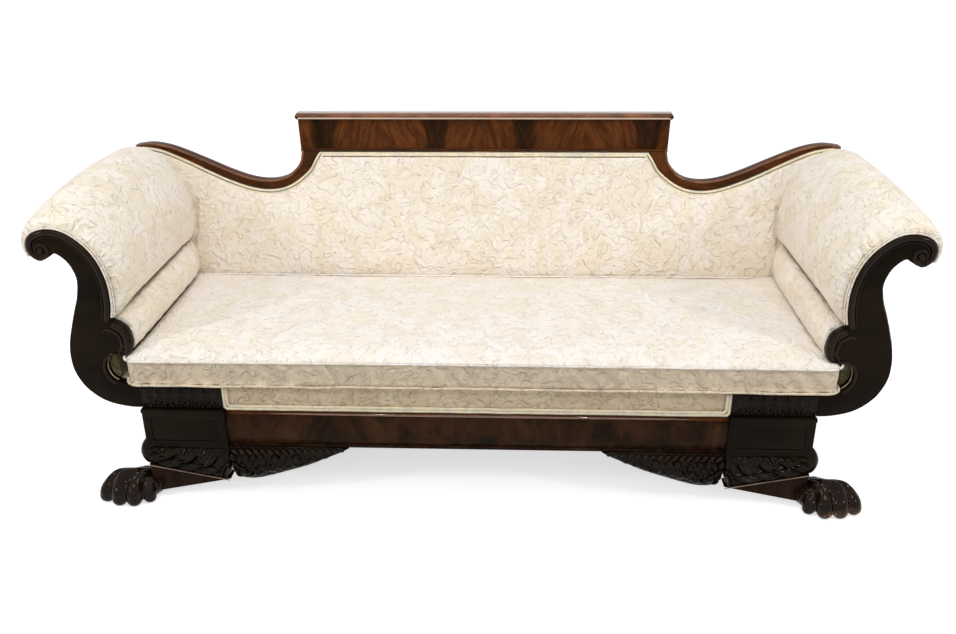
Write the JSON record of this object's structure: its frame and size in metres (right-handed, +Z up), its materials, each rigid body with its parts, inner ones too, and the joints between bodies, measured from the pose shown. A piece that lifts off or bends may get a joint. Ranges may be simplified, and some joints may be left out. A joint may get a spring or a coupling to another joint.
{
  "type": "recamier",
  "caption": "Scroll-arm couch with paw feet, a veneered crest tablet, carved front blocks, ivory damask upholstery and a loose seat cushion.",
  "frame": {"origin": "on the floor, midway along the length and midway between the front paws' claws and the back", "axes": "+X along the couch to the viewer's right, +Y from the front to the back, +Z up"},
  "size_m": [2.2884, 0.7817, 0.922],
  "materials": {
    "flame_veneer": "figured crotch veneer, polished",
    "mahogany": "dark mahogany, polished",
    "red_mahogany": "red-brown mahogany, polished",
    "bare_wood": "bare hardwood",
    "damask": "ivory woven damask",
    "cord_cloth": "cream covered cord",
    "jute": "jute webbing",
    "lining": "dark woven lining"
  },
  "bodies": {
    "frame": {"crest_tablet": "flame_veneer", "crest_cap": "mahogany", "crest_bead": "mahogany", "front_rail_beads": "mahogany", "crest_rail_left": "mahogany", "crest_rail_right": "mahogany", "arm_facing_left": "mahogany", "arm_facing_right": "mahogany", "facing_bead_left": "mahogany", "facing_bead_right": "mahogany", "volute_button_left": "mahogany", "volute_button_right": "mahogany", "frieze_block_left": "mahogany", "frieze_block_right": "mahogany", "plinth_block_left": "mahogany", "plinth_block_right": "mahogany", "knee_left": "mahogany", "knee_right": "mahogany", "bracket_left": "mahogany", "bracket_right": "mahogany", "rear_foot_left": "mahogany", "rear_foot_right": "mahogany", "front_rail_face": "red_mahogany", "plinth_panel_left": "red_mahogany", "plinth_panel_right": "red_mahogany", "front_foot_left": "red_mahogany", "front_foot_right": "red_mahogany", "front_rail": "bare_wood", "rear_rail": "bare_wood", "cross_rails": "bare_wood", "corner_blocks": "bare_wood", "back_stiles": "bare_wood", "rail_dowels": "bare_wood", "side_rail_left": "bare_wood", "side_rail_right": "bare_wood", "back_board_left": "bare_wood", "back_board_right": "bare_wood", "arm_top_rail_left": "bare_wood", "arm_top_rail_right": "bare_wood", "arm_tack_rail_left": "bare_wood", "arm_tack_rail_right": "bare_wood", "arm_aprons": "damask", "deck": "damask", "deck_band": "damask", "back_pad": "damask", "outside_back": "damask", "arm_base_rail_left": "damask", "arm_base_rail_right": "damask", "arm_pad_left": "damask", "arm_pad_right": "damask", "arm_roll_left": "damask", "arm_roll_right": "damask", "outside_arm_left": "damask", "outside_arm_right": "damask", "band_gimp": "cord_cloth", "back_gimp": "cord_cloth", "seat_webbing": "jute", "back_webbing": "jute", "dust_cover": "lining"},
    "seat_cushion": {"seat_cushion": "damask"}
  },
  "joints": [
    {"name": "cushion_pull", "type": "slide", "parent": "frame", "child": "seat_cushion", "axis": [0, -1, 0], "range_m": [0, 0.6]}
  ]
}
